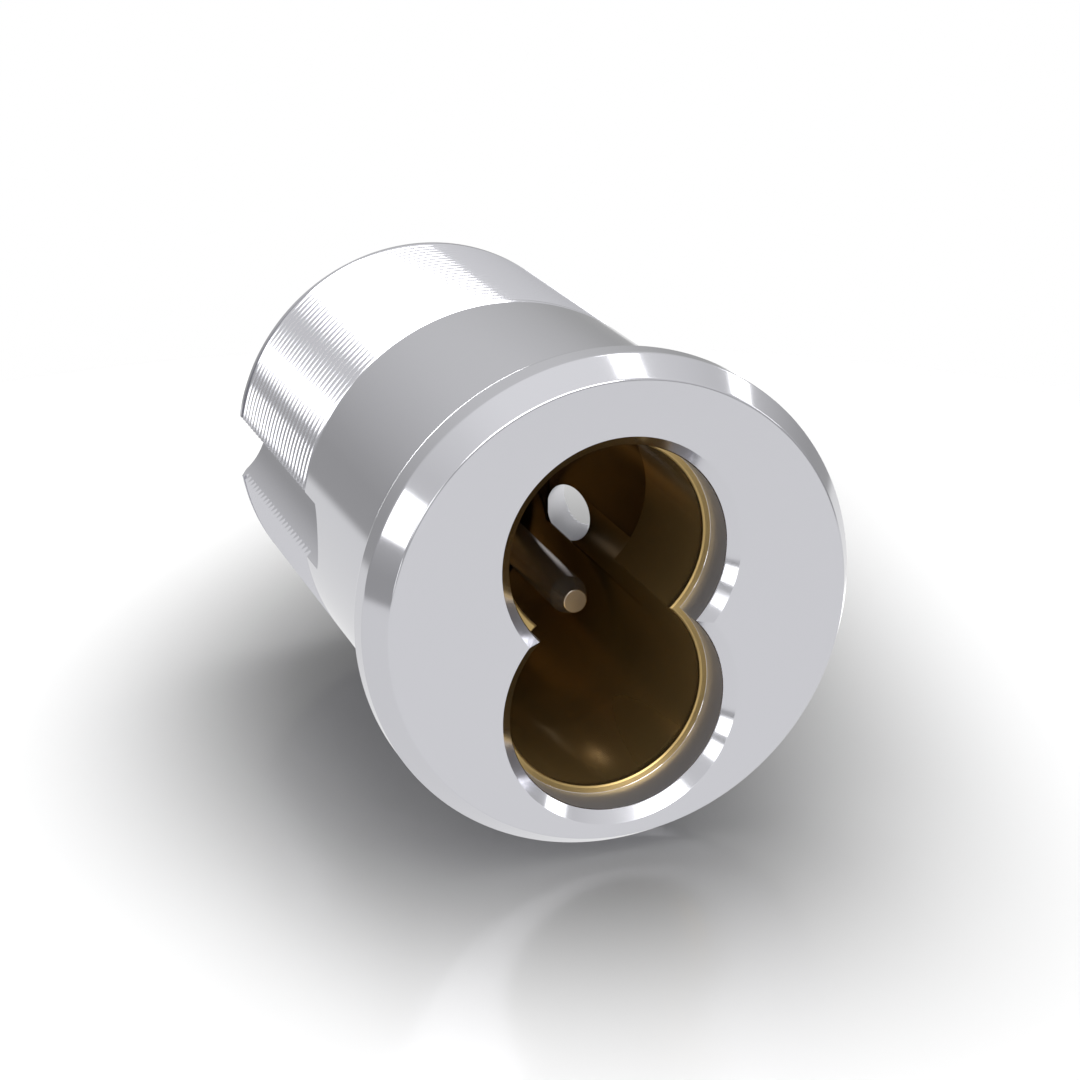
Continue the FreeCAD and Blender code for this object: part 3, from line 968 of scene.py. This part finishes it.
class CYLINDER_OT_stage(Operator):
    """Lay the pale floor, hang the lamps and set up the camera"""

    bl_idname = "cylinder.stage"
    bl_label = "Stage"

    def execute(self, context):
        stage = context.scene.stage_settings
        self.floor(stage, -context.scene.shell_sizes.head_radius)
        self.lamps(stage)
        self.room(context, stage)
        self.camera(context)
        context.scene.view_settings.view_transform = "Standard"
        return {"FINISHED"}

    def floor(self, stage, height):
        """Flat round floor with the object's shadow on it, partly cast and partly painted, clear at its
        rim.
        """
        count = 96
        angle = np.linspace(0.0, 2 * math.pi, count, endpoint=False)
        radius = stage.floor_radius * np.array([0.3, 0.7, 1.05])[:, None]
        grid = np.stack([radius * np.cos(angle), FLOOR_CENTRE_Y + radius * np.sin(angle),
                         np.full((3, count), height)], axis=-1)
        points = np.vstack([grid.reshape(-1, 3), [(0.0, FLOOR_CENTRE_Y, height)]])
        here = np.arange(count)
        hub = np.stack([(here + 1) % count, here, np.full(count, 3 * count)], axis=1)
        made = new_object("studio_floor", (points, ring_quads(3, count), hub))
        made.data.materials.append(self.floor_material(stage))

    def floor_material(self, stage):
        """Pale glossy floor with a painted shadow, a greyer pool round the housing, clear at its rim.

        The painted shadow's depth is a smooth step of d, where d^2 = (u/27)^2 + ((y - 28)/45)^2 and
        u = x - 1 - y^2/250, in millimetres. Only the camera sees this floor: the metal mirrors
        the room's even white.
        """
        kit = ShaderKit("pale_floor")
        _, (x, y, _) = kit.place()
        away = y - FLOOR_CENTRE_Y
        rim = (((x * x + away * away).power(0.5) / stage.floor_radius - 0.9) / 0.1).clipped()
        across = (x - 1 * MM - y * y / (250 * MM)) / (27 * MM)
        along = (y - 28 * MM) / (45 * MM)
        t = (((across * across + along * along).power(0.5) - 0.4) / 1.2).clipped()
        # Painted shadow: the floor's colour greys to a fifth of itself in a pool round the housing
        painted_shadow = t * t * (3 - 2 * t)
        tone = kit.blend(painted_shadow, toned(stage.floor_colour, 0.2), stage.floor_colour)
        surface = kit.node("ShaderNodeBsdfPrincipled", None, {
            "Base Color": tone, "Roughness": 0.2, "Specular IOR Level": 0.35})
        clear = kit.node("ShaderNodeBsdfTransparent")
        seen = kit.out(kit.node("ShaderNodeLightPath"), "Is Camera Ray") * (1 - rim)
        both = kit.node("ShaderNodeMixShader", None, {0: seen, 1: kit.out(clear), 2: kit.out(surface)})
        kit.node("ShaderNodeOutputMaterial", None, {"Surface": kit.out(both)})
        return kit.material

    def lamps(self, stage):
        """Square soft lamps on a sphere round the housing, each aimed at it.

        The bearing runs from the viewer's side towards +X, the height above the floor's plane,
        and the two spreads are the angles that a lamp's face covers. Its power is its face's
        brightness times pi times its area.
        """
        target = Vector((0.0, 0.01, 0.0))
        for name, bearing, height, wide, tall, level in LAMPS:
            a, e = math.radians(bearing), math.radians(height)
            away = Vector((math.sin(a) * math.cos(e), -math.cos(a) * math.cos(e), math.sin(e)))
            light = bpy.data.lights.new(name, "AREA")
            light.shape = "RECTANGLE"
            light.size = 2 * LAMP_DISTANCE * math.tan(math.radians(wide / 2))
            light.size_y = 2 * LAMP_DISTANCE * math.tan(math.radians(tall / 2))
            light.energy = stage.lamp_level * level * math.pi * light.size * light.size_y
            lamp = bpy.data.objects.new(name, light)
            lamp.location = target + away * LAMP_DISTANCE
            lamp.rotation_euler = (-away).to_track_quat("-Z", "Y").to_euler()
            lamp.visible_camera = False
            lamp.visible_glossy = name != "floor_lamp"
            lamp.visible_diffuse = name == "floor_lamp"
            bpy.context.scene.collection.objects.link(lamp)

    def room(self, context, stage):
        """Light of the room by height above the horizon, plain white to the camera.

        A direction at the height e has z = sin e, and its place on the ramp is (1 + sin e) / 2.
        The level falls towards the back as 0.97 - 0.06 y.
        """
        world = bpy.data.worlds.new("studio_room")
        world.use_nodes = True
        kit = ShaderKit(world.name, world)
        way = kit.out(kit.node("ShaderNodeTexCoord"), "Generated")
        parts = kit.node("ShaderNodeSeparateXYZ", None, {0: way})
        up = kit.out(parts, "Z")
        stops = [((1 + math.sin(math.radians(height))) / 2, (level,) * 3)
                 for height, level in ROOM_LEVELS]
        ramp = kit.node("ShaderNodeValToRGB", {"stops": stops}, {0: (up + 1) / 2})
        by_camera = kit.out(kit.node("ShaderNodeLightPath"), "Is Camera Ray")
        seen = kit.blend(by_camera, kit.out(ramp), (1.0, 1.0, 1.0))
        strength = stage.room_level * (0.97 - kit.out(parts, "Y") * 0.06)
        strength = by_camera + (1 - by_camera) * strength
        back = kit.node("ShaderNodeBackground", None, {"Color": seen, "Strength": strength})
        kit.node("ShaderNodeOutputWorld", None, {"Surface": kit.out(back)})
        context.scene.world = world

    def camera(self, context):
        """Camera of the photograph, in the frame of the part."""
        lens = bpy.data.cameras.new("photo_camera")
        lens.sensor_width = 36.0
        lens.lens = 85.36
        lens.clip_start = 0.01
        made = bpy.data.objects.new("photo_camera", lens)
        right = Vector((0.941, -0.339, 0.0)).normalized()
        forward = Vector((0.319, 0.886, -0.338)).normalized()
        up = right.cross(forward)
        right = forward.cross(up)
        turn = Matrix((right, up, -forward)).transposed()
        made.matrix_world = Matrix.Translation(Vector((-56.26, -144.49, 59.41)) * MM) @ turn.to_4x4()
        context.scene.collection.objects.link(made)
        context.scene.camera = made


class CYLINDER_PT_panel(Panel):
    """Lists the pieces in the sidebar"""

    bl_idname = "CYLINDER_PT_panel"
    bl_label = "Cylinder housing"
    bl_space_type = "VIEW_3D"
    bl_region_type = "UI"
    bl_category = "Cylinder"

    def draw(self, context):
        for step in STEPS:
            self.layout.operator(step.bl_idname)
        for name, group in GROUPS.items():
            box = self.layout.box()
            box.label(text=group.__doc__)
            settings = getattr(context.scene, name)
            for key in group.__annotations__:
                box.prop(settings, key)


STEPS = (CYLINDER_OT_housing, CYLINDER_OT_drive_pins, CYLINDER_OT_driver,
         CYLINDER_OT_retaining_ring, CYLINDER_OT_cam, CYLINDER_OT_cam_screws, CYLINDER_OT_stage)
GROUPS = {
    "shell_sizes": ShellSizes,
    "opening_sizes": OpeningSizes,
    "groove_sizes": GrooveSizes,
    "driver_sizes": DriverSizes,
    "finishes": Finishes,
    "stage_settings": StageSettings,
}
CLASSES = (*GROUPS.values(), *STEPS, CYLINDER_PT_panel)


def register():
    for item in CLASSES:
        bpy.utils.register_class(item)
    for name, group in GROUPS.items():
        setattr(bpy.types.Scene, name, PointerProperty(type=group))


def unregister():
    for name in GROUPS:
        delattr(bpy.types.Scene, name)
    for item in reversed(CLASSES):
        bpy.utils.unregister_class(item)


def main():
    """Registers the classes and builds every piece and the stage."""
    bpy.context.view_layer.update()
    register()
    bpy.ops.cylinder.housing()
    bpy.ops.cylinder.drive_pins()
    bpy.ops.cylinder.driver()
    bpy.ops.cylinder.retaining_ring()
    bpy.ops.cylinder.cam()
    bpy.ops.cylinder.cam_screws()
    bpy.ops.cylinder.stage()


if __name__ == "__main__":
    main()
